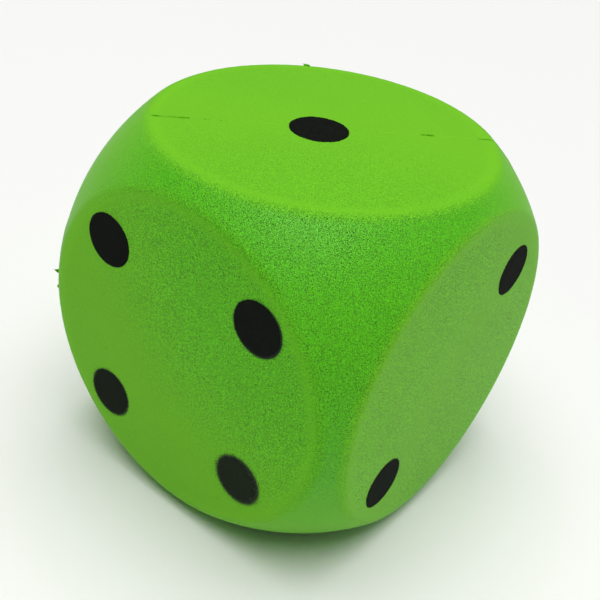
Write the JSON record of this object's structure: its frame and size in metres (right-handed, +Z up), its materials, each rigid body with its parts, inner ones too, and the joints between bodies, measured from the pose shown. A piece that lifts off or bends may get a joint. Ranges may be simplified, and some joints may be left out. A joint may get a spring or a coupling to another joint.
{
  "type": "foam play die",
  "caption": "Large soft foam play die, a cube with round flat faces and ball-rounded edges and corners, with round sprayed pips.",
  "frame": {"origin": "middle of the base, the face with six pips, on the surface that the die rests on", "axes": "+Z up through the face with one pip, -Y towards the face with four, +X towards the face with two"},
  "size_m": [0.16, 0.16, 0.16],
  "materials": {
    "foam": "matt open-pored foam",
    "paint": "matt sprayed paint soaked into the foam"
  },
  "bodies": {
    "root": {"foam_body": "foam", "pip_one_centre": "paint", "pip_two_upper_right": "paint", "pip_two_lower_left": "paint", "pip_three_upper_left": "paint", "pip_three_centre": "paint", "pip_three_lower_right": "paint", "pip_four_upper_left": "paint", "pip_four_upper_right": "paint", "pip_four_lower_left": "paint", "pip_four_lower_right": "paint", "pip_five_upper_left": "paint", "pip_five_upper_right": "paint", "pip_five_centre": "paint", "pip_five_lower_left": "paint", "pip_five_lower_right": "paint", "pip_six_upper_left": "paint", "pip_six_middle_left": "paint", "pip_six_lower_left": "paint", "pip_six_upper_right": "paint", "pip_six_middle_right": "paint", "pip_six_lower_right": "paint"}
  },
  "joints": []
}
